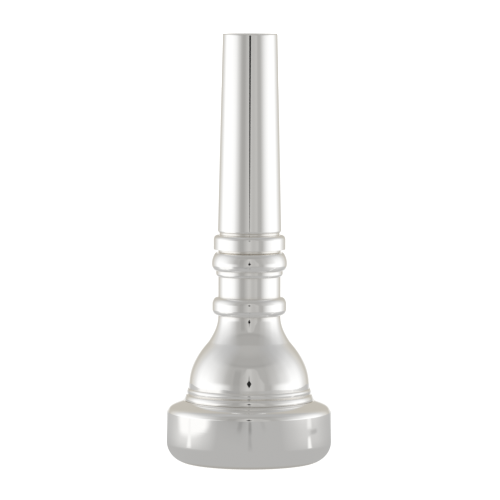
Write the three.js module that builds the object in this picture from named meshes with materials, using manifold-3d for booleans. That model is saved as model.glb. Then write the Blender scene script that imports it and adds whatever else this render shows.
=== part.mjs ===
/**
 * Cornet mouthpiece in silver-plated brass, made of three turned pieces that
 * screw together: the rim that meets the lips, the cup with its bell and stem,
 * and the shank that fits the instrument's receiver.
 *
 * Millimetres. The bore runs along +Z. The rim's crest stands on z = 0 and the
 * open end of the shank is at z = LENGTH.
 */

import * as THREE from 'three';
import { mergeVertices } from 'three/addons/utils/BufferGeometryUtils.js';
import Module from 'manifold-3d';

const wasm = await Module();
wasm.setup();

// Facets round the axis, facets in one turn of a thread, and how many of those
// a thread takes to rise to its full depth.
const SIDES = 36;
const THREAD_SIDES = 18;
const THREAD_FADE = 6;

// Overall, and the two faces where the pieces seat on each other.
const LENGTH = 70.2;
const RIM_SEAT = 10.2;
const SHANK_SEAT = 35;
const SEAT_GAP = 0.05;

// Rim: a ring with a soft crest, a plain band and a sloping shoulder.
const RIM_RADIUS = 13.5;
const RIM_BAND_BOTTOM = 3.4;
const RIM_BAND_TOP = 8.25;
const SHOULDER_RADIUS = 10.75;
const SHOULDER_PULL = { radius: 12.3, height: 9.7 };
const SHOULDER_EDGE = 9.3;
const CREST_RADIUS = 9.95;
const CREST_FLAT = 0.5;
const BITE_RADIUS = 8.3;
const BITE_HEIGHT = 2.4;

// Two small rings round the foot of the bell, with a groove between them.
const LOWER_RING = { radius: 10.6, corner: 10.45, top: 11.2 };
const RING_GROOVE = { radius: 10.08, bottom: 11.3, top: 11.35 };
const UPPER_RING = { radius: 10.22, middle: 11.8, top: 12.23 };

// Bell: upright at its foot, then a hollow sweep to the stem.
const BELL_RADIUS = 9.915;
const BELL_BOTTOM = 12.3;
const BELL_TURN = 12.7;
const BELL_PULL = 16.85;
const WAIST_PULL = { radius: 7.21, height: 19.13 };
const WAIST = { radius: 6.69, height: 19.93 };
const NECK_PULL = { radius: 5.475, height: 21.8 };
const NECK_TURN = 22.9;
const NECK_TOP = 24.19;

// Stem: a plain collar, a small ring, and a bead that is tight below its
// middle and long above it.
const STEM_RADIUS = 5.15;
const COLLAR = { radius: 6.12, bottom: 25.17, top: 26.09, end: 27.2 };
const SMALL_RING = { radius: 5.53, start: 30.56, bottom: 31.06, top: 31.48 };
const BEAD_RADIUS = 6.22;
const BEAD_BOTTOM = 31.51;
const BEAD_MIDDLE = 32.65;
const BEAD_TOP = 34.6;

// Cup: the bowl's edge, the round it runs through to its floor, and the throat.
const BOWL_EDGE = { radius: 8.18, height: 3.3 };
const BOWL_WALL = { radius: 7.75, height: 8.8 };
const BOWL_ROUND = { radius: 5.6, height: 12.2 };
const BOWL_FLOOR = { radius: 3, height: 13.5 };
const THROAT_ENTRY = { radius: 2.2, height: 13.9 };
const THROAT_RADIUS = 1.83;
const THROAT_PULL = 14.6;
const THROAT_BOTTOM = 15.6;
const THROAT_TOP = 19.2;

// Shank: a collar that seats on the stem, a groove, then a long taper.
const SHANK_COLLAR_RADIUS = 5.94;
const SHANK_COLLAR_TOP = 36.7;
const SHANK_GROOVE = { radius: 4.96, bottom: 37.43, top: 37.75 };
const TAPER_BOTTOM = 38.15;
const TAPER_BOTTOM_RADIUS = 5.25;
const TAPER_TOP_RADIUS = 4.525;
const END_ROUND = 0.25;
const END_BORE_RADIUS = 3.65;
const END_BORE_BEVEL = 0.1;
const BORE_PULL = { radius: 3.3, height: 54.2 };
const BORE_PULL_BACK = { radius: 2.75, height: 38.2 };

// Threads: sharp 60 degree ridges. The socket is cut larger by the clearance.
// A ridge's root is sunk a little into the wall that it stands on.
const THREAD_DEPTH = 0.68;
const THREAD_CLEARANCE = 0.08;
const THREAD_ROOT = 0.05;
const RIM_THREAD = { pitch: 1.25, radius: 9.8, start: 3.8 };
const SHANK_THREAD = { pitch: 1.25, radius: 4, start: 29.4 };

// The tenons and the sockets that take them. A thread stops short of the
// tenon's end, of the shoulder above it, and of the socket's relief groove.
const RIM_SOCKET_FLOOR = 3.2;
const SHANK_SOCKET_FLOOR = 29;
const SHANK_TENON_END = 29.15;
const SHANK_TENON_BORE = 2.2;
const TENON_BEVEL = 0.2;
const TENON_RUN_IN = 0.9;
const TENON_RELIEF = 0.7;
const RELIEF_GROOVE = { deep: 0.1, high: 0.7, bevel: 0.1, run: 0.6 };

/** A point of a turned outline: distance from the axis, and height. */
function at(radius, height) {
  return new THREE.Vector2(radius, height);
}

/** The point that a named radius and height give. */
function point({ radius, height }) {
  return at(radius, height);
}

/** A quarter of an ellipse from `from` to `to`, which leaves `from` level or upright. */
function quarter(from, to, leaves, steps) {
  const points = [];
  for (let i = 0; i <= steps; i += 1) {
    const angle = (i / steps) * (Math.PI / 2);
    const fast = Math.sin(angle);
    const slow = 1 - Math.cos(angle);
    const across = leaves === 'level' ? fast : slow;
    const up = leaves === 'level' ? slow : fast;
    points.push(at(
      from.x + (to.x - from.x) * across,
      from.y + (to.y - from.y) * up,
    ));
  }
  return points;
}

/** A smooth curve between two points, pulled towards two others. */
function curve(from, pull, pullBack, to, steps) {
  return new THREE.CubicBezierCurve(from, pull, pullBack, to).getPoints(steps);
}

/** A closed solid from a geometry. */
function solid(geometry) {
  geometry.deleteAttribute('normal');
  geometry.deleteAttribute('uv');
  const merged = mergeVertices(geometry);
  return new wasm.Manifold(new wasm.Mesh({
    numProp: 3,
    vertProperties: new Float32Array(merged.attributes.position.array),
    triVerts: new Uint32Array(merged.index.array),
  }));
}

/** A solid turned about +Z from an outline that closes on itself. */
function turned(outline) {
  const first = outline[0];
  const closed = [...outline, at(first.x, first.y)];
  const geometry = new THREE.LatheGeometry(closed, SIDES);
  geometry.rotateX(Math.PI / 2);
  return solid(geometry);
}

/** The faces of a four-sided bar made of rings of four corners, closed at both ends. */
function barFaces(corners) {
  const faces = [0, 1, 2, 0, 2, 3];
  const end = corners - 4;
  for (let ring = 0; ring < end; ring += 4) {
    for (let side = 0; side < 4; side += 1) {
      const a = ring + side;
      const b = ring + ((side + 1) % 4);
      faces.push(a, a + 4, b, b, a + 4, b + 4);
    }
  }
  faces.push(end, end + 2, end + 1, end, end + 3, end + 2);
  return faces;
}

/**
 * The ridge of a right-hand thread between two heights, all of it on one helix
 * whatever the heights are, so that a ridge and its groove stay in phase. It
 * fades out over the first and last part of a turn. `grow` swells every side.
 */
function threadRidge(thread, bottom, top, grow) {
  const { pitch, radius, start } = thread;
  const foot = radius - THREAD_DEPTH + grow - THREAD_ROOT;
  const flank = Math.tan(Math.PI / 6);
  const swell = grow / Math.cos(Math.PI / 6);
  const crestWidth = pitch / 8;
  const halfWidth = (r) => crestWidth / 2 + (radius - r) * flank + swell;

  const firstStep = Math.ceil(((bottom - start) / pitch) * THREAD_SIDES);
  const lastStep = Math.floor(((top - start) / pitch) * THREAD_SIDES);
  const positions = [];
  for (let step = firstStep; step <= lastStep; step += 1) {
    const angle = (step / THREAD_SIDES) * 2 * Math.PI;
    const height = start + (step / THREAD_SIDES) * pitch;
    const fromEnd = Math.min(step - firstStep, lastStep - step);
    const fullness = Math.min(1, (fromEnd + 0.5) / THREAD_FADE);
    const crest = foot + (radius + grow - foot) * fullness;
    for (const [r, side] of [[foot, -1], [crest, -1], [crest, 1], [foot, 1]]) {
      positions.push(r * Math.cos(angle), r * Math.sin(angle), height + side * halfWidth(r));
    }
  }

  const geometry = new THREE.BufferGeometry();
  geometry.setAttribute('position', new THREE.Float32BufferAttribute(positions, 3));
  geometry.setIndex(barFaces(positions.length / 3));
  return solid(geometry);
}

/** The wall of a threaded socket, from its mouth down to its floor. */
function socketWall(thread, mouth, floor) {
  const wall = thread.radius - THREAD_DEPTH + THREAD_CLEARANCE;
  const relief = thread.radius + THREAD_CLEARANCE + RELIEF_GROOVE.deep;
  return [
    at(relief, mouth),
    at(wall, mouth - (relief - wall)),
    at(wall, floor + RELIEF_GROOVE.high),
    at(relief, floor + RELIEF_GROOVE.high - RELIEF_GROOVE.bevel),
    at(relief, floor),
  ];
}

/** The groove that a socket's thread cuts, from its floor out through its mouth. */
function socketThread(thread, mouth, floor) {
  return threadRidge(thread, floor + RELIEF_GROOVE.run, mouth + thread.pitch, THREAD_CLEARANCE);
}

/** The wall of a threaded tenon, from its end up to the shoulder above it. */
function tenonWall(thread, end, shoulder) {
  const wall = thread.radius - THREAD_DEPTH;
  return [
    at(wall - TENON_BEVEL, end),
    at(wall, end + TENON_BEVEL),
    at(wall, shoulder),
  ];
}

/** The ridge that stands on a tenon. */
function tenonThread(thread, end, shoulder) {
  return threadRidge(thread, end + TENON_RUN_IN, shoulder - TENON_RELIEF, 0);
}

/** The rim: crest, band, shoulder, then the threaded socket and the bite. */
function makeRim() {
  const crestIn = at(CREST_RADIUS - CREST_FLAT / 2, 0);
  const crestOut = at(CREST_RADIUS + CREST_FLAT / 2, 0);
  const band = at(RIM_RADIUS, RIM_BAND_BOTTOM);
  const bandTop = at(RIM_RADIUS, RIM_BAND_TOP);
  const shoulder = at(SHOULDER_RADIUS, RIM_SEAT);
  const bite = at(BITE_RADIUS, BITE_HEIGHT);
  const body = turned([
    crestIn,
    ...quarter(crestOut, band, 'level', 5),
    ...curve(bandTop, at(RIM_RADIUS, SHOULDER_EDGE), point(SHOULDER_PULL), shoulder, 5),
    ...socketWall(RIM_THREAD, RIM_SEAT, RIM_SOCKET_FLOOR),
    at(BOWL_EDGE.radius, RIM_SOCKET_FLOOR),
    ...quarter(bite, crestIn, 'upright', 5).slice(0, -1),
  ]);
  return body.subtract(socketThread(RIM_THREAD, RIM_SEAT, RIM_SOCKET_FLOOR));
}

/** The two small rings that stand on the rim's seat. */
function footRings() {
  const lower = at(LOWER_RING.radius, LOWER_RING.corner);
  const upper = at(UPPER_RING.radius, UPPER_RING.middle);
  return [
    at(LOWER_RING.radius, RIM_SEAT + SEAT_GAP),
    ...quarter(lower, at(UPPER_RING.radius, LOWER_RING.top), 'upright', 3),
    at(RING_GROOVE.radius, RING_GROOVE.bottom),
    ...quarter(at(RING_GROOVE.radius, RING_GROOVE.top), upper, 'level', 2),
    ...quarter(upper, at(BELL_RADIUS, UPPER_RING.top), 'upright', 2).slice(1),
  ];
}

/** The bell and the neck above it. */
function bell() {
  const waist = point(WAIST);
  const neck = at(STEM_RADIUS, NECK_TOP);
  return [
    at(BELL_RADIUS, BELL_BOTTOM),
    ...curve(at(BELL_RADIUS, BELL_TURN), at(BELL_RADIUS, BELL_PULL), point(WAIST_PULL), waist, 6),
    ...curve(waist, point(NECK_PULL), at(STEM_RADIUS, NECK_TURN), neck, 5).slice(1),
  ];
}

/** The stem, with its collar, its small ring and its bead. */
function stem(seat) {
  return [
    ...quarter(at(STEM_RADIUS, NECK_TOP), at(COLLAR.radius, COLLAR.bottom), 'level', 3).slice(1),
    ...quarter(at(COLLAR.radius, COLLAR.top), at(STEM_RADIUS, COLLAR.end), 'upright', 4),
    ...quarter(
      at(STEM_RADIUS, SMALL_RING.start),
      at(SMALL_RING.radius, SMALL_RING.bottom),
      'level',
      2,
    ),
    at(SMALL_RING.radius, SMALL_RING.top),
    ...quarter(at(SMALL_RING.radius, BEAD_BOTTOM), at(BEAD_RADIUS, BEAD_MIDDLE), 'level', 3).slice(1),
    ...quarter(at(BEAD_RADIUS, BEAD_MIDDLE), at(STEM_RADIUS, BEAD_TOP), 'upright', 4).slice(1),
    at(STEM_RADIUS, seat),
  ];
}

/** The bore from the shank's socket down through the throat, then the bowl. */
function throatAndBowl() {
  const throat = at(THROAT_RADIUS, THROAT_BOTTOM);
  const floor = point(BOWL_FLOOR);
  return [
    at(SHANK_TENON_BORE, SHANK_SOCKET_FLOOR),
    at(THROAT_RADIUS, THROAT_TOP),
    ...curve(throat, at(THROAT_RADIUS, THROAT_PULL), point(THROAT_ENTRY), floor, 3),
    ...curve(floor, point(BOWL_ROUND), point(BOWL_WALL), point(BOWL_EDGE), 6).slice(1),
  ];
}

/** The cup: a threaded tenon below, the bell and stem, and a threaded socket above. */
function makeCup() {
  const shoulder = RIM_SEAT + SEAT_GAP;
  const seat = SHANK_SEAT - SEAT_GAP;
  const body = turned([
    ...tenonWall(RIM_THREAD, BOWL_EDGE.height, shoulder),
    ...footRings(),
    ...bell(),
    ...stem(seat),
    ...socketWall(SHANK_THREAD, seat, SHANK_SOCKET_FLOOR),
    ...throatAndBowl(),
  ]);
  return body
    .add(tenonThread(RIM_THREAD, BOWL_EDGE.height, shoulder))
    .subtract(socketThread(SHANK_THREAD, seat, SHANK_SOCKET_FLOOR));
}

/** The groove above the shank's collar, then the taper and its rounded end. */
function taper() {
  const endCorner = at(TAPER_TOP_RADIUS, LENGTH - END_ROUND);
  return [
    ...quarter(
      at(SHANK_COLLAR_RADIUS, SHANK_COLLAR_TOP),
      at(SHANK_GROOVE.radius, SHANK_GROOVE.bottom),
      'upright',
      4,
    ),
    ...quarter(
      at(SHANK_GROOVE.radius, SHANK_GROOVE.top),
      at(TAPER_BOTTOM_RADIUS, TAPER_BOTTOM),
      'level',
      3,
    ),
    ...quarter(endCorner, at(TAPER_TOP_RADIUS - END_ROUND, LENGTH), 'upright', 3),
  ];
}

/** The shank: a threaded tenon, the collar, the taper and the bore through it. */
function makeShank() {
  const endBore = at(END_BORE_RADIUS, LENGTH - END_BORE_BEVEL);
  const tenonBore = at(SHANK_TENON_BORE, SHANK_TENON_END);
  const body = turned([
    ...tenonWall(SHANK_THREAD, SHANK_TENON_END, SHANK_SEAT),
    at(SHANK_COLLAR_RADIUS, SHANK_SEAT),
    ...taper(),
    at(END_BORE_RADIUS + END_BORE_BEVEL, LENGTH),
    ...curve(endBore, point(BORE_PULL), point(BORE_PULL_BACK), tenonBore, 5),
  ]);
  return body.add(tenonThread(SHANK_THREAD, SHANK_TENON_END, SHANK_SEAT));
}

/** A named mesh of a solid, in polished silver plate. */
function plated(name, shape, tint) {
  const { vertProperties, triVerts } = shape.getMesh();
  const geometry = new THREE.BufferGeometry();
  geometry.setAttribute('position', new THREE.BufferAttribute(vertProperties, 3));
  geometry.setIndex(new THREE.BufferAttribute(triVerts, 1));
  const facets = geometry.toNonIndexed();
  facets.computeVertexNormals();
  const material = new THREE.MeshStandardMaterial({
    color: tint,
    roughness: 0.06,
    metalness: 1,
  });
  const mesh = new THREE.Mesh(facets, material);
  mesh.name = name;
  return mesh;
}

const mouthpiece = new THREE.Group();
mouthpiece.name = 'cornet_mouthpiece';
mouthpiece.add(plated('rim', makeRim(), 0xf2f0ec));
mouthpiece.add(plated('cup', makeCup(), 0xf3f1ee));
mouthpiece.add(plated('shank', makeShank(), 0xf2f1ef));

export default mouthpiece;
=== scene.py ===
"""Studio picture of a silver-plated cornet mouthpiece standing on its rim.

The three CAD pieces are replaced by finely turned versions of themselves, with
soft edges and real threads, in mirror-polished silver plate. Outlines are in
millimetres, everything else is in metres.
"""

import math

import bpy
import numpy as np
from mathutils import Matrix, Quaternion, Vector


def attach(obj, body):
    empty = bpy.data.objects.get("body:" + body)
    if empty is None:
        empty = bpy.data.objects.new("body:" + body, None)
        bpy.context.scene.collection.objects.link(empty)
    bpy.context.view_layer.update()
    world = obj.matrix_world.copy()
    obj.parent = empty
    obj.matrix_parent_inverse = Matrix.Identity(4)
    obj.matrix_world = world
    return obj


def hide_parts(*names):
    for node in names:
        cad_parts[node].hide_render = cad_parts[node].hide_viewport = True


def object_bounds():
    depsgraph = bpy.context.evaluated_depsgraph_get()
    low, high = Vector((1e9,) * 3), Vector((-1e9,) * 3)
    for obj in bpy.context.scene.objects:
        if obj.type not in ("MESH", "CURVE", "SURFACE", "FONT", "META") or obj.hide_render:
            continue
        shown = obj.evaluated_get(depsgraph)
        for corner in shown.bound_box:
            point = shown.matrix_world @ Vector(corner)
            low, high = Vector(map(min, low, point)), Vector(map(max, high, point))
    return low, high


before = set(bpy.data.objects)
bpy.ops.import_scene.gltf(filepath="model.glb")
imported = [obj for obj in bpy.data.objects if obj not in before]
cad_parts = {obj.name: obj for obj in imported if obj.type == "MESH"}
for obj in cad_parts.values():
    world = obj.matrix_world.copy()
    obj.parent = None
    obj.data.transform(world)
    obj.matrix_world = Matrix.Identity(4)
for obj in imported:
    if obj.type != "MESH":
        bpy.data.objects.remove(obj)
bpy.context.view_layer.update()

MM = 0.001

# Overall, and the two faces where the pieces seat on each other.
LENGTH = 70.2
RIM_SEAT = 10.2
SHANK_SEAT = 35

# The seams are closed up to this, so that they show only as turned lines.
SEAM = 0.01

# Rim.
RIM_RADIUS = 13.5
RIM_BAND_BOTTOM = 3.4
RIM_BAND_TOP = 8.25
SHOULDER_RADIUS = 10.75
SHOULDER_PULL = (12.3, 9.7)
SHOULDER_EDGE = 9.3
CREST_RADIUS = 9.95
BITE_RADIUS = 8.3
BITE_HEIGHT = 2.4

# Two small rings round the foot of the bell, with a groove between them.
LOWER_RING = {"radius": 10.6, "corner": 10.45, "top": 11.2}
RING_GROOVE = {"radius": 10.08, "bottom": 11.3, "top": 11.35}
UPPER_RING = {"radius": 10.22, "middle": 11.8, "top": 12.23}

# Bell and neck.
BELL_RADIUS = 9.915
BELL_BOTTOM = 12.3
BELL_TURN = 12.7
BELL_PULL = 16.85
WAIST_PULL = (7.21, 19.13)
WAIST = (6.69, 19.93)
NECK_PULL = (5.475, 21.8)
NECK_TURN = 22.9
NECK_TOP = 24.19

# Stem.
STEM_RADIUS = 5.15
COLLAR = {"radius": 6.12, "bottom": 25.17, "top": 26.09, "end": 27.2}
SMALL_RING = {"radius": 5.53, "start": 30.56, "bottom": 31.06, "top": 31.48}
BEAD_RADIUS = 6.22
BEAD_BOTTOM = 31.51
BEAD_MIDDLE = 32.65
BEAD_TOP = 34.6

# Inside of the cup.
BOWL_EDGE = (8.18, 3.3)
BOWL_WALL = (7.75, 8.8)
BOWL_ROUND = (5.6, 12.2)
BOWL_FLOOR = (3, 13.5)
THROAT_ENTRY = (2.2, 13.9)
THROAT_RADIUS = 1.83
THROAT_PULL = 14.6
THROAT_BOTTOM = 15.6
THROAT_TOP = 19.2

# Shank.
SHANK_COLLAR_RADIUS = 5.94
SHANK_COLLAR_TOP = 36.7
SHANK_GROOVE = {"radius": 4.96, "bottom": 37.43, "top": 37.75}
TAPER_BOTTOM = 38.15
TAPER_BOTTOM_RADIUS = 5.25
TAPER_TOP_RADIUS = 4.525
END_ROUND = 0.25
END_BORE_RADIUS = 3.65
END_BORE_BEVEL = 0.1
BORE_PULL = (3.3, 54.2)
BORE_PULL_BACK = (2.75, 38.2)

# Threads, and the tenons and sockets that carry them.
THREAD_DEPTH = 0.68
THREAD_FLANK = math.pi / 6
THREAD_CLEARANCE = 0.08
THREAD_FADE = 0.4
RIM_THREAD = {"pitch": 1.25, "radius": 9.8, "start": 3.8}
SHANK_THREAD = {"pitch": 1.25, "radius": 4.0, "start": 29.4}
RIM_SOCKET_FLOOR = 3.2
SHANK_SOCKET_FLOOR = 29
SHANK_TENON_END = 29.15
SHANK_TENON_BORE = 2.2
TENON_BEVEL = 0.2
TENON_RUN_IN = 0.9
TENON_RELIEF = 0.7
RELIEF_GROOVE = {"deep": 0.1, "high": 0.7, "bevel": 0.1, "run": 0.6}

# Fineness of the turned surfaces: their sides, the steps of a threaded wall, and the
# distances below which two points are one and a wall lies on a thread's core.
SIDES = 160
WALL_STEP = 0.1
SAME_POINT = 1e-4
ON_CORE = 1e-3

# Sharp edges: how far they are rounded, which corners count as sharp, the most of a
# neighbouring side that a round takes up, and the points in a round.
EDGE_SOFTNESS = 0.05
SHARP_CORNER = math.radians(24)
CORNER_SHARE = 0.45
ROUND_POINTS = 6

# A side longer than this has a point this close to each end, to hold its shading flat.
LONG_RUN = 0.3
BRACE = 0.03

# Silver: its colour, the warm dark colour painted in as shade in tight corners and seams, and how
# far into corners that painted shade reaches.
SILVER = (0.965, 0.962, 0.955, 1)
PAINTED_CORNER_SHADE = (0.8, 0.76, 0.69, 1)
PAINTED_SHADE_REACH = 0.0006

# The grain of the turning lines, the ripple and the wiping marks, in waves a metre.
TURNING_GRAIN = (60, 60, 2600)
RIPPLE_GRAIN = (90, 90, 160)
WIPING_GRAIN = (220, 220, 500)
BUMP_STRENGTH = 0.07
BUMP_DISTANCE = 0.00001
ROUGHNESS = (0.03, 0.05)

# The throat and backbore: within this radius, from this height up, and their roughness.
BORED_RADIUS = 0.0039
BORED_FROM = 0.0155
BORED_ROUGHNESS = 0.35

# Camera: its place, where it aims against the middle of the object, and its roll.
CAMERA_PLACE = (0, -0.58, 0.0792)
CAMERA_LENS = 256
CAMERA_SENSOR = 36
CAMERA_NEAR = 0.01
AIM_ASIDE = 0.00008
AIM_BELOW = 0.00025
CAMERA_ROLL = math.radians(0.18)

# Floor, in metres from its middle to each side, and what is beyond it.
FLOOR_HALF = 6
FLOOR_WHITE = (0.8, 0.8, 0.8, 1)
FLOOR_ROUGHNESS = 0.9
FLOOR_GLOW = 0.75
WORLD_STRENGTH = 1.1

# Light tent: its size, and how finely its light is painted. In the studio a level is a
# display level of 0 to 255 and an angle is in degrees. Azimuth 0 is the camera's side,
# positive to the right, and a list of stops has an angle or a distance with its value.
TENT_RADIUS = 2.0
TENT_COLUMNS = 720
TENT_ROWS = 360
CLOTH_WARMTH = 0.4
CLOTH_STOPS = ((30, 176), (40, 176), (45, 165), (50, 170), (60, 170), (72, 178))
SHADE_AZIMUTH = -24
SHADE_LEVEL = 165.0
BEHIND_LEVEL = 195.0
BEHIND_WARMTH = 1.5
BACKDROP_LEVEL = 264.0
SEAM_LEVEL = 90.0
SEAM_STRENGTH = 0.6

# The brighter patch round the camera: its edges by elevation, its level by azimuth.
PATCH_RIGHT = ((8, 30), (20, 22), (36, 18), (42, 10))
PATCH_LEFT = ((20, 19), (30, 11), (42, 5))
PATCH_STOPS = (
    (-19, 170), (-14, 178), (-9, 187), (-4, 196), (3, 198), (8, 189), (14, 186), (24, 192),
    (30, 188),
)

# The soft boxes: how they set in by azimuth, low down and high up, how they end, and
# their level by elevation.
BOX_LOW_LEFT = ((34, 0.03), (41, 0.3), (48, 0.52), (57, 0.82), (66, 0.93), (80, 1))
BOX_LOW_RIGHT = ((41, 0), (49, 0.3), (57, 0.6), (66, 0.82), (76, 0.95), (88, 1))
BOX_HIGH_LEFT = ((38, 0), (46, 0.1), (55, 0.36), (66, 0.62), (76, 0.85), (90, 1))
BOX_HIGH_RIGHT = ((36, 0), (46, 0.16), (55, 0.26), (66, 0.52), (76, 0.68), (90, 1))
BOX_END = ((108, 1), (117, 0.86), (126, 0.55), (136, 0.3), (146, 0.06), (156, 0))
BOX_STOPS = (
    (0, 264), (10, 257), (20, 248), (30, 236), (35, 230), (40, 219), (50, 200), (60, 190),
    (70, 184),
)
BOX_RIGHT_DIMMER = 6

# Gap in the front of the tent, half its width at heights from the camera, and its grey.
GAP_OUTLINE = ((0, -0.067), (0.02, -0.036), (0.046, 0.024), (0, 0.1))
GAP_LEVEL = 40.0

# Table top, in millimetres, and its height in metres.
TABLE_LOW = (-120, -110)
TABLE_HIGH = (120, 120)
TABLE_STEP = 1
TABLE_HEIGHT = 0.0002
TABLE_LEVEL = 181
TABLE_WARMTH = 0.2

# The light on the table: by bearing from the camera's side, and by distance on each side.
FAN_BEARINGS = (
    (40, 0), (50, 0.3), (58, 0.5), (65, 0.72), (73, 0.92), (80, 1), (98, 0.85), (112, 0.5),
    (124, 0.3), (150, 0.1),
)
FAN_LEFT = ((22, 2), (32, 20), (41, 42), (50, 54), (60, 58))
FAN_RIGHT = ((22, 1), (32, 10), (41, 24), (50, 29), (62, 31), (80, 44), (95, 55))
SHEET_LEVEL = 258
SHEET_BACK_EDGE = ((50, 92), (70, 99))
SHEET_BACK_FADE = 16
FRONT_SHADE = ((42, 0), (60, 4), (80, 14))
TABLE_BACK_LEVEL = 232
STRIP_LEVEL = 252
SPOT_DEPTH = 25


# ---------------------------------------------------------------- outlines

def at(radius, height):
    """A point of a turned outline: distance from the axis, and height."""
    return np.array([radius, height], float)


def quarter(start, end, leaves, count=16):
    """A quarter of an ellipse that leaves `start` level or upright."""
    angle = np.linspace(0, math.pi / 2, count + 1)
    fast = np.sin(angle)
    slow = 1 - np.cos(angle)
    across, up = (fast, slow) if leaves == "level" else (slow, fast)
    return [
        at(start[0] + (end[0] - start[0]) * a, start[1] + (end[1] - start[1]) * u)
        for a, u in zip(across, up)
    ]


def curve(start, pull, pull_back, end, count=32):
    """A smooth curve between two points, pulled towards two others."""
    points = []
    for t in np.linspace(0, 1, count + 1):
        s = 1 - t
        points.append(
            s**3 * start + 3 * s * s * t * pull + 3 * s * t * t * pull_back + t**3 * end
        )
    return points


def wall(radius, start, end):
    """A straight wall in steps fine enough to carry a thread."""
    count = max(2, int(abs(end - start) / WALL_STEP))
    return [at(radius, z) for z in np.linspace(start, end, count + 1)]


def without_repeats(points):
    """The outline without points that lie on the one before."""
    kept = [points[0]]
    for point in points[1:]:
        if np.linalg.norm(point - kept[-1]) > SAME_POINT:
            kept.append(point)
    if np.linalg.norm(kept[-1] - kept[0]) < SAME_POINT:
        kept.pop()
    return kept


def soften(points):
    """The outline with each sharp corner turned into a small round."""
    points = without_repeats(points)
    soft = []
    for i, point in enumerate(points):
        before = points[i - 1] - point
        after = points[(i + 1) % len(points)] - point
        length_before = np.linalg.norm(before)
        length_after = np.linalg.norm(after)
        before = before / length_before
        after = after / length_after
        turn = math.pi - math.acos(float(np.clip(np.dot(before, after), -1, 1)))
        if turn < SHARP_CORNER:
            soft.append(point)
            continue
        room = CORNER_SHARE * min(length_before, length_after)
        reach = min(EDGE_SOFTNESS * math.tan(turn / 2), room)
        start = point + before * reach
        end = point + after * reach
        for t in np.linspace(0, 1, ROUND_POINTS):
            soft.append((1 - t) ** 2 * start + 2 * t * (1 - t) * point + t * t * end)
    return braced(soft)


def braced(points):
    """The outline with a point close to each end of its long straight stretches."""
    held = []
    for i, point in enumerate(points):
        held.append(point)
        run = points[(i + 1) % len(points)] - point
        length = np.linalg.norm(run)
        if length > LONG_RUN:
            held.append(point + run * (BRACE / length))
            held.append(point + run * (1 - BRACE / length))
    return held


def socket_wall(thread, mouth, floor):
    """The wall of a threaded socket, from its mouth down to its floor."""
    core = thread["radius"] - THREAD_DEPTH + THREAD_CLEARANCE
    relief = thread["radius"] + THREAD_CLEARANCE + RELIEF_GROOVE["deep"]
    groove_top = floor + RELIEF_GROOVE["high"]
    return [
        at(relief, mouth),
        *wall(core, mouth - (relief - core), groove_top),
        at(relief, groove_top - RELIEF_GROOVE["bevel"]),
        at(relief, floor),
    ]


def tenon_wall(thread, end, shoulder):
    """The wall of a threaded tenon, from its end up to the shoulder above it."""
    core = thread["radius"] - THREAD_DEPTH
    return [
        at(core - TENON_BEVEL, end),
        *wall(core, end + TENON_BEVEL, shoulder),
    ]


def rim_outline():
    """The rim: crest, band, shoulder, then the threaded socket and the bite."""
    crest = at(CREST_RADIUS, 0)
    band = at(RIM_RADIUS, RIM_BAND_BOTTOM)
    band_top = at(RIM_RADIUS, RIM_BAND_TOP)
    edge_pull = at(RIM_RADIUS, SHOULDER_EDGE)
    shoulder = at(SHOULDER_RADIUS, RIM_SEAT)
    return soften([
        *quarter(crest, band, "level", count=40),
        *curve(band_top, edge_pull, at(*SHOULDER_PULL), shoulder, count=40),
        *socket_wall(RIM_THREAD, RIM_SEAT, RIM_SOCKET_FLOOR),
        at(BOWL_EDGE[0], RIM_SOCKET_FLOOR),
        *quarter(at(BITE_RADIUS, BITE_HEIGHT), crest, "upright", count=32),
    ])


def foot_rings():
    """The two small rings that stand on the rim's seat."""
    lower = at(LOWER_RING["radius"], LOWER_RING["corner"])
    upper = at(UPPER_RING["radius"], UPPER_RING["middle"])
    return [
        at(LOWER_RING["radius"], RIM_SEAT + SEAM),
        *quarter(lower, at(UPPER_RING["radius"], LOWER_RING["top"]), "upright"),
        at(RING_GROOVE["radius"], RING_GROOVE["bottom"]),
        *quarter(at(RING_GROOVE["radius"], RING_GROOVE["top"]), upper, "level"),
        *quarter(upper, at(BELL_RADIUS, UPPER_RING["top"]), "upright"),
    ]


def bell():
    """The bell and the neck above it."""
    foot = at(BELL_RADIUS, BELL_TURN)
    foot_pull = at(BELL_RADIUS, BELL_PULL)
    waist = at(*WAIST)
    neck = at(STEM_RADIUS, NECK_TOP)
    neck_turn = at(STEM_RADIUS, NECK_TURN)
    return [
        at(BELL_RADIUS, BELL_BOTTOM),
        *curve(foot, foot_pull, at(*WAIST_PULL), waist, count=60),
        *curve(waist, at(*NECK_PULL), neck_turn, neck, count=40),
    ]


def stem(seat):
    """The stem, with its collar, its small ring and its bead."""
    bead = at(BEAD_RADIUS, BEAD_MIDDLE)
    ring = at(SMALL_RING["radius"], SMALL_RING["bottom"])
    return [
        *quarter(at(STEM_RADIUS, NECK_TOP), at(COLLAR["radius"], COLLAR["bottom"]), "level"),
        *quarter(at(COLLAR["radius"], COLLAR["top"]), at(STEM_RADIUS, COLLAR["end"]), "upright"),
        *quarter(at(STEM_RADIUS, SMALL_RING["start"]), ring, "level", count=8),
        at(SMALL_RING["radius"], SMALL_RING["top"]),
        *quarter(at(SMALL_RING["radius"], BEAD_BOTTOM), bead, "level"),
        *quarter(bead, at(STEM_RADIUS, BEAD_TOP), "upright", count=24),
        at(STEM_RADIUS, seat),
    ]


def throat_and_bowl():
    """The bore from the shank's socket down through the throat, then the bowl."""
    throat = at(THROAT_RADIUS, THROAT_BOTTOM)
    floor = at(*BOWL_FLOOR)
    return [
        at(SHANK_TENON_BORE, SHANK_SOCKET_FLOOR),
        at(THROAT_RADIUS, THROAT_TOP),
        *curve(throat, at(THROAT_RADIUS, THROAT_PULL), at(*THROAT_ENTRY), floor),
        *curve(floor, at(*BOWL_ROUND), at(*BOWL_WALL), at(*BOWL_EDGE), count=60),
    ]


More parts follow.
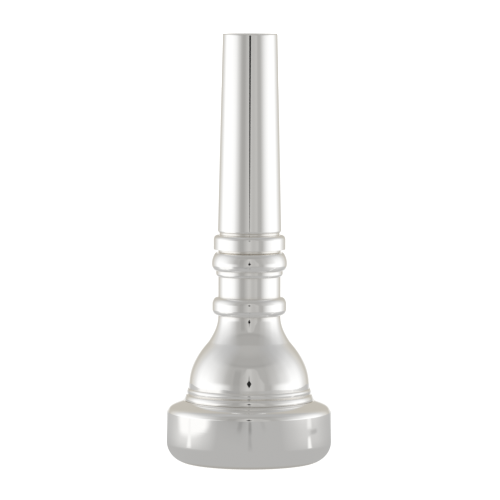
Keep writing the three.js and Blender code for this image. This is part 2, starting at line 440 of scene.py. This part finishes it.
def cup_outline():
    """The cup: a threaded tenon below, the bell and stem, and a threaded socket above."""
    seat = SHANK_SEAT - SEAM
    return soften([
        *tenon_wall(RIM_THREAD, BOWL_EDGE[1], RIM_SEAT + SEAM),
        *foot_rings(),
        *bell(),
        *stem(seat),
        *socket_wall(SHANK_THREAD, seat, SHANK_SOCKET_FLOOR),
        *throat_and_bowl(),
    ])


def shank_outline():
    """The shank: a threaded tenon, the collar, the taper and the bore through it."""
    groove_bottom = at(SHANK_GROOVE["radius"], SHANK_GROOVE["bottom"])
    groove_top = at(SHANK_GROOVE["radius"], SHANK_GROOVE["top"])
    end_corner = at(TAPER_TOP_RADIUS, LENGTH - END_ROUND)
    end_face = at(TAPER_TOP_RADIUS - END_ROUND, LENGTH)
    end_bore = at(END_BORE_RADIUS, LENGTH - END_BORE_BEVEL)
    tenon_bore = at(SHANK_TENON_BORE, SHANK_TENON_END)
    return soften([
        *tenon_wall(SHANK_THREAD, SHANK_TENON_END, SHANK_SEAT),
        at(SHANK_COLLAR_RADIUS, SHANK_SEAT),
        *quarter(at(SHANK_COLLAR_RADIUS, SHANK_COLLAR_TOP), groove_bottom, "upright"),
        *quarter(groove_top, at(TAPER_BOTTOM_RADIUS, TAPER_BOTTOM), "level"),
        *quarter(end_corner, end_face, "upright", count=8),
        at(END_BORE_RADIUS + END_BORE_BEVEL, LENGTH),
        *curve(end_bore, at(*BORE_PULL), at(*BORE_PULL_BACK), tenon_bore),
    ])


# ------------------------------------------------------------ turned pieces

def thread_rise(thread, bottom, top, grow, heights, angles):
    """How far a thread's ridge stands off its core at each height and angle."""
    pitch = thread["pitch"]
    flank = math.tan(THREAD_FLANK)
    crest_width = pitch / 8
    foot = crest_width / 2 + THREAD_DEPTH * flank + grow / math.cos(THREAD_FLANK)
    turns = (heights - thread["start"]) / pitch - angles / (2 * math.pi)
    off_crest = np.abs((turns + 0.5) % 1 - 0.5) * pitch
    rise = np.clip((foot - off_crest) / flank, 0, THREAD_DEPTH)
    from_end = np.minimum(heights - bottom, top - heights)
    return rise * np.clip(from_end / THREAD_FADE, 0, 1)


def socket_thread(thread, mouth, floor):
    """The stretch of a socket's wall that its thread cuts: core, ends and growth."""
    core = thread["radius"] - THREAD_DEPTH + THREAD_CLEARANCE
    bottom = floor + RELIEF_GROOVE["run"]
    return (thread, core, bottom, mouth + thread["pitch"], THREAD_CLEARANCE)


def tenon_thread(thread, end, shoulder):
    """The stretch of a tenon's wall that carries its thread: core, ends and growth."""
    core = thread["radius"] - THREAD_DEPTH
    return (thread, core, end + TENON_RUN_IN, shoulder - TENON_RELIEF, 0)


def turned(name, outline, threads):
    """A smooth turned piece, with threads where its outline follows their cores."""
    outline = np.array(outline)
    rows = len(outline)
    angles = np.arange(SIDES) * (2 * math.pi / SIDES)
    radius = np.repeat(outline[:, :1], SIDES, axis=1)
    height = np.repeat(outline[:, 1:], SIDES, axis=1)
    around = np.repeat(angles[None, :], rows, axis=0)
    for thread, core, bottom, top, grow in threads:
        threaded = (np.abs(radius - core) < ON_CORE) & (height > bottom) & (height < top)
        rise = thread_rise(thread, bottom, top, grow, height, around)
        radius = np.where(threaded, radius + rise, radius)

    points = np.stack([radius * np.cos(around), radius * np.sin(around), height], axis=-1)
    faces = grid(rows, SIDES, rows_close=True, columns_close=True)
    mesh = bpy.data.meshes.new(name)
    mesh.from_pydata((points.reshape(-1, 3) * MM).tolist(), [], faces)
    mesh.polygons.foreach_set("use_smooth", [True] * len(mesh.polygons))
    mesh.update()
    return link(name, mesh)


def grid(rows, columns, rows_close=False, columns_close=False):
    """The faces of rows and columns of squares, which may each close on themselves."""
    down = rows if rows_close else rows + 1
    across = columns if columns_close else columns + 1
    faces = []
    for row in range(rows):
        above = (row + 1) % down
        for column in range(columns):
            beside = (column + 1) % across
            faces.append((
                row * across + column,
                row * across + beside,
                above * across + beside,
                above * across + column,
            ))
    return faces


def link(name, data):
    """An object for a mesh or a camera, in the scene."""
    thing = bpy.data.objects.new(name, data)
    bpy.context.scene.collection.objects.link(thing)
    return thing


def make_pieces():
    """The three pieces, each under the name of the CAD node it replaces."""
    rim_shoulder = RIM_SEAT + SEAM
    shank_seat = SHANK_SEAT - SEAM
    return {
        "rim": turned("rim_turned", rim_outline(), [
            socket_thread(RIM_THREAD, RIM_SEAT, RIM_SOCKET_FLOOR),
        ]),
        "cup": turned("cup_turned", cup_outline(), [
            tenon_thread(RIM_THREAD, BOWL_EDGE[1], rim_shoulder),
            socket_thread(SHANK_THREAD, shank_seat, SHANK_SOCKET_FLOOR),
        ]),
        "shank": turned("shank_turned", shank_outline(), [
            tenon_thread(SHANK_THREAD, SHANK_TENON_END, SHANK_SEAT),
        ]),
    }


# ---------------------------------------------------------------- materials

def silver_plate():
    """Mirror-polished silver, with faint turning lines, wiping marks, and shade painted in as a
    warm dark tint in tight corners and seams.
    """
    material = bpy.data.materials.new("silver_plate")
    material.use_nodes = True
    nodes = material.node_tree.nodes
    links = material.node_tree.links
    shader = nodes["Principled BSDF"]
    shader.inputs["Metallic"].default_value = 1.0
    place = nodes.new("ShaderNodeTexCoord")

    turning = noise(nodes, links, place, TURNING_GRAIN, detail=2.0)
    ripple = noise(nodes, links, place, RIPPLE_GRAIN, detail=1.0)
    bump = nodes.new("ShaderNodeBump")
    bump.inputs["Strength"].default_value = BUMP_STRENGTH
    bump.inputs["Distance"].default_value = BUMP_DISTANCE
    links.new(arithmetic(nodes, links, "ADD", turning, ripple), bump.inputs["Height"])
    links.new(bump.outputs["Normal"], shader.inputs["Normal"])

    wiping = noise(nodes, links, place, WIPING_GRAIN, detail=4.0)
    polish = between(nodes, links, wiping, *ROUGHNESS)
    links.new(duller_inside(nodes, links, place, polish), shader.inputs["Roughness"])

    # Painted shade: the base colour turns to a warm dark tint where ambient occlusion finds other
    # surfaces close by.
    hidden = nodes.new("ShaderNodeAmbientOcclusion")
    hidden.inputs["Distance"].default_value = PAINTED_SHADE_REACH
    tint = nodes.new("ShaderNodeMix")
    tint.data_type = "RGBA"
    tint.inputs["A"].default_value = PAINTED_CORNER_SHADE
    tint.inputs["B"].default_value = SILVER
    links.new(hidden.outputs["AO"], tint.inputs["Factor"])
    links.new(tint.outputs["Result"], shader.inputs["Base Color"])
    return material


def noise(nodes, links, place, grain, detail):
    """A noise over the object's own space, finer or coarser in each direction."""
    stretch = nodes.new("ShaderNodeMapping")
    stretch.inputs["Scale"].default_value = grain
    texture = nodes.new("ShaderNodeTexNoise")
    texture.inputs["Scale"].default_value = 1.0
    texture.inputs["Detail"].default_value = detail
    links.new(place.outputs["Object"], stretch.inputs["Vector"])
    links.new(stretch.outputs["Vector"], texture.inputs["Vector"])
    return texture.outputs["Fac"]


def between(nodes, links, value, low, high):
    """A value from 0 to 1 spread between two others."""
    spread = nodes.new("ShaderNodeMapRange")
    spread.inputs["To Min"].default_value = low
    spread.inputs["To Max"].default_value = high
    links.new(value, spread.inputs["Value"])
    return spread.outputs["Result"]


def duller_inside(nodes, links, place, polish):
    """The polish of the outside, and a plain bored finish in the throat and backbore."""
    across = nodes.new("ShaderNodeVectorMath")
    across.operation = "MULTIPLY"
    across.inputs[1].default_value = (1, 1, 0)
    from_axis = nodes.new("ShaderNodeVectorMath")
    from_axis.operation = "LENGTH"
    height = nodes.new("ShaderNodeSeparateXYZ")
    links.new(place.outputs["Object"], across.inputs[0])
    links.new(across.outputs["Vector"], from_axis.inputs[0])
    links.new(place.outputs["Object"], height.inputs["Vector"])

    near_axis = arithmetic(nodes, links, "LESS_THAN", from_axis.outputs["Value"], BORED_RADIUS)
    above_bowl = arithmetic(nodes, links, "GREATER_THAN", height.outputs["Z"], BORED_FROM)
    finish = nodes.new("ShaderNodeMix")
    finish.inputs["B"].default_value = BORED_ROUGHNESS
    links.new(arithmetic(nodes, links, "MULTIPLY", near_axis, above_bowl), finish.inputs["Factor"])
    links.new(polish, finish.inputs["A"])
    return finish.outputs["Result"]


def arithmetic(nodes, links, operation, first, second):
    """The result of a sum on a changing value and a second one, changing or fixed."""
    node = nodes.new("ShaderNodeMath")
    node.operation = operation
    links.new(first, node.inputs[0])
    if isinstance(second, float):
        node.inputs[1].default_value = second
    else:
        links.new(second, node.inputs[1])
    return node.outputs["Value"]


def glowing(name, colour=(1, 1, 1), attribute=None):
    """A material that gives light, in one colour or by a colour attribute."""
    material = bpy.data.materials.new(name)
    material.use_nodes = True
    nodes = material.node_tree.nodes
    links = material.node_tree.links
    nodes.clear()
    output = nodes.new("ShaderNodeOutputMaterial")
    emission = nodes.new("ShaderNodeEmission")
    emission.inputs["Color"].default_value = (*colour, 1)
    if attribute:
        reader = nodes.new("ShaderNodeAttribute")
        reader.attribute_name = attribute
        links.new(reader.outputs["Color"], emission.inputs["Color"])
    links.new(emission.outputs["Emission"], output.inputs["Surface"])
    material.cycles.emission_sampling = "NONE"
    return material


# ------------------------------------------------------------------- studio

def grey(level, warmth=0.0):
    """A linear colour from a display level of 0 to 255, warmed by taking out blue."""
    channels = np.stack([level, level - 3 * warmth, level - 9 * warmth], axis=-1)
    return (channels / 255) ** 2.2


def ramp(value, start, end):
    """0 before start, 1 after end, smooth between."""
    t = np.clip((value - start) / (end - start), 0, 1)
    return t * t * (3 - 2 * t)


def graded(value, stops):
    """A level read off a few stops, (value, level) each, with straight runs between."""
    return np.interp(value, [stop[0] for stop in stops], [stop[1] for stop in stops])


def mixed(under, over, amount):
    """One colour laid over another, by an amount from 0 to 1."""
    return under + (over - under) * amount[..., None]


def front_patch(azimuth, elevation):
    """The brighter patch of tent round the camera: where it is, and its level."""
    edge = np.where(azimuth > 0, graded(elevation, PATCH_RIGHT), graded(elevation, PATCH_LEFT))
    there = (1 - ramp(abs(azimuth), edge - 3, edge + 2)) * (1 - ramp(elevation, 38, 43))
    return there * ramp(elevation, -7, -4), graded(azimuth, PATCH_STOPS)


def softbox(azimuth, elevation):
    """How much of each side's large soft light comes from each direction."""
    side = abs(azimuth)
    on_left = azimuth < 0
    low = np.where(on_left, graded(side, BOX_LOW_LEFT), graded(side, BOX_LOW_RIGHT))
    high = np.where(on_left, graded(side, BOX_HIGH_LEFT), graded(side, BOX_HIGH_RIGHT))
    inner = low + (high - low) * ramp(elevation, 1, 9)
    return inner * graded(side, BOX_END)


def studio_light(azimuth, elevation):
    """The light that comes from each direction of the tent."""
    side = abs(azimuth)
    light = grey(graded(elevation, CLOTH_STOPS), CLOTH_WARMTH)
    shade = (1 - ramp(abs(azimuth - SHADE_AZIMUTH), 4, 10)) * (1 - ramp(elevation, 30, 42))
    light = mixed(light, grey(SHADE_LEVEL, CLOTH_WARMTH), shade)
    patch, level = front_patch(azimuth, elevation)
    light = mixed(light, grey(level, CLOTH_WARMTH), patch)
    behind = ramp(side, 118, 138) * (1 - ramp(elevation, 50, 75))
    light = mixed(light, grey(BEHIND_LEVEL, BEHIND_WARMTH), behind)

    dimmer = BOX_RIGHT_DIMMER * ramp(elevation, 20, 34) * ramp(azimuth, 0, 60)
    box_light = grey(graded(elevation, BOX_STOPS) - dimmer)
    light = mixed(light, box_light, softbox(azimuth, elevation))

    backdrop = ramp(side, 148, 168) * (1 - ramp(elevation, 4, 12))
    light = mixed(light, grey(BACKDROP_LEVEL), backdrop)

    seam = (1 - ramp(side, 0.6, 1.6)) * ramp(elevation, 8, 12) * (1 - ramp(elevation, 18, 30))
    return mixed(light, grey(SEAM_LEVEL), SEAM_STRENGTH * seam)


def painted(name, points, faces, colours):
    """A sheet that gives light by the colour at each of its points, in mirrors only."""
    mesh = bpy.data.meshes.new(name)
    mesh.from_pydata(points.reshape(-1, 3).tolist(), [], faces)
    solid = np.concatenate([colours.reshape(-1, 3), np.ones((colours.size // 3, 1))], axis=1)
    light = mesh.color_attributes.new("light", "FLOAT_COLOR", "POINT")
    light.data.foreach_set("color", solid.ravel())
    sheet = link(name, mesh)
    mesh.materials.append(glowing(name + "_light", attribute="light"))
    sheet.visible_camera = False


def make_tent():
    """A closed light tent that only reflections and soft light see."""
    azimuth, elevation = np.meshgrid(
        np.linspace(-180, 180, TENT_COLUMNS, endpoint=False),
        np.linspace(90, -90, TENT_ROWS + 1),
    )
    a = np.radians(azimuth)
    e = np.radians(elevation)
    outward = np.stack([np.sin(a) * np.cos(e), -np.cos(a) * np.cos(e), np.sin(e)], axis=-1)
    faces = grid(TENT_ROWS, TENT_COLUMNS, columns_close=True)
    painted("light_tent", TENT_RADIUS * outward, faces, studio_light(azimuth, elevation))


def make_lens_gap(camera):
    """The dark upright gap in the tent's front that the camera looks through."""
    right = [(width, height, 0) for width, height in GAP_OUTLINE]
    left = [(-width, height, 0) for width, height in reversed(GAP_OUTLINE[1:-1])]
    corners = right + left
    mesh = bpy.data.meshes.new("lens_gap")
    mesh.from_pydata(corners, [], [range(len(corners))])
    gap = link("lens_gap", mesh)
    gap.matrix_world = camera.matrix_world.copy()
    mesh.materials.append(glowing("gap_dark", tuple(grey(GAP_LEVEL).tolist())))
    gap.visible_camera = False


def make_floor():
    """A plain white floor, lit so brightly that it runs into the backdrop."""
    mesh = bpy.data.meshes.new("floor")
    far = FLOOR_HALF
    corners = [(-far, -far, 0), (far, -far, 0), (far, far, 0), (-far, far, 0)]
    mesh.from_pydata(corners, [], [(0, 1, 2, 3)])
    floor = link("floor", mesh)
    material = bpy.data.materials.new("white_floor")
    material.use_nodes = True
    shader = material.node_tree.nodes["Principled BSDF"]
    shader.inputs["Base Color"].default_value = FLOOR_WHITE
    shader.inputs["Roughness"].default_value = FLOOR_ROUGHNESS
    shader.inputs["Specular IOR Level"].default_value = 0.0
    shader.inputs["Emission Color"].default_value = (1, 1, 1, 1)
    shader.inputs["Emission Strength"].default_value = FLOOR_GLOW
    mesh.materials.append(material)
    floor.visible_glossy = False
    floor.visible_diffuse = False


def band(value, middle, half):
    """1 in the middle of a narrow soft band, 0 beyond its edges."""
    return 1 - ramp(abs(value - middle), 0.4 * half, 1.6 * half)


def table_fan(x, y, bearing):
    """Light that the soft boxes throw on the table, fading towards the object."""
    away = np.hypot(x, y)
    reach = np.where(x < 0, graded(away, FAN_LEFT), graded(away, FAN_RIGHT))
    return graded(bearing, FAN_BEARINGS) * reach


def white_sheet(x, bearing):
    """Where the white sheet on the left of the table lies."""
    back_edge = graded(-x, SHEET_BACK_EDGE)
    in_front = 1 - ramp(bearing, back_edge, back_edge + SHEET_BACK_FADE)
    return ramp(-x, 45, 56) * ramp(bearing, 46, 60) * in_front


def front_shade(x, y, bearing):
    """How much darker the table is at the front, with its narrow dark bars."""
    shade = graded(-y, FRONT_SHADE) * (1 - ramp(x, -12, 0)) * (1 - ramp(bearing, 35, 50))
    near_bars = 12 * band(x, 1, 1.6) * band(y, -52, 12)
    far_bars = 14 * band(x, -14, 3) + 28 * band(x, 1.5, 2.2) + 6 * band(x, 22, 3)
    return shade + near_bars + far_bars * band(y, -71, 9)


def bright_strips(x, y):
    """The narrow bright strips that run out to both sides of the object."""
    left = band(y, -8, 2.2) * ramp(-x, 30, 38)
    right = band(y, -7, 2) * ramp(x, 31, 35) * (1 - ramp(x, 46, 52))
    far_right = 0.7 * band(y, -6, 4.5) * ramp(x, 57, 64)
    return np.maximum(np.maximum(left, right), far_right)


def table_light(x, y):
    """The level that the table top shows in mirrors, at places in millimetres."""
    bearing = np.degrees(np.arctan2(abs(x), -y))
    level = TABLE_LEVEL + table_fan(x, y, bearing)
    level = level + (SHEET_LEVEL - level) * white_sheet(x, bearing)
    level = level - front_shade(x, y, bearing)
    behind = ramp(bearing, 142, 156) * ramp(np.hypot(x, y), 12, 24)
    level = level + (TABLE_BACK_LEVEL - level) * behind
    level = level + (STRIP_LEVEL - level) * bright_strips(x, y)
    return level - SPOT_DEPTH * band(x, 55, 3) * band(y, 2, 6)


def make_table():
    """The small grey table top that the polished metal reflects."""
    columns = round((TABLE_HIGH[0] - TABLE_LOW[0]) / TABLE_STEP)
    rows = round((TABLE_HIGH[1] - TABLE_LOW[1]) / TABLE_STEP)
    x, y = np.meshgrid(
        np.linspace(TABLE_LOW[0], TABLE_HIGH[0], columns + 1),
        np.linspace(TABLE_LOW[1], TABLE_HIGH[1], rows + 1),
    )
    points = np.stack([x * MM, y * MM, np.full_like(x, TABLE_HEIGHT)], axis=-1)
    colours = grey(table_light(x, y), TABLE_WARMTH)
    painted("table_top", points, grid(rows, columns), colours)


def make_world():
    """Plain white beyond the floor."""
    world = bpy.data.worlds.new("white")
    bpy.context.scene.world = world
    world.use_nodes = True
    background = world.node_tree.nodes["Background"]
    background.inputs["Color"].default_value = (1, 1, 1, 1)
    background.inputs["Strength"].default_value = WORLD_STRENGTH


def make_camera():
    """A long lens a little above the object, looking slightly down."""
    camera = link("camera", bpy.data.cameras.new("camera"))
    bpy.context.scene.camera = camera
    camera.data.sensor_width = CAMERA_SENSOR
    camera.data.lens = CAMERA_LENS
    camera.data.clip_start = CAMERA_NEAR
    low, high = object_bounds()
    middle = (high.z - low.z) / 2
    camera.location = CAMERA_PLACE
    aim = Vector((AIM_ASIDE, 0, middle - AIM_BELOW))
    look = (aim - camera.location).to_track_quat("-Z", "Y")
    roll = Quaternion((0, 0, 1), CAMERA_ROLL)
    camera.rotation_mode = "QUATERNION"
    camera.rotation_quaternion = look @ roll
    bpy.context.view_layer.update()
    return camera


def make_studio(camera):
    """Everything round the object, and plain display of its colours."""
    make_world()
    make_floor()
    make_tent()
    make_table()
    make_lens_gap(camera)
    bpy.context.scene.view_settings.view_transform = "Standard"
    bpy.context.scene.view_settings.look = "None"


camera = make_camera()
make_studio(camera)
silver = silver_plate()
for node, piece in make_pieces().items():
    piece.data.materials.append(silver)
    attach(piece, "root")
    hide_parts(node)
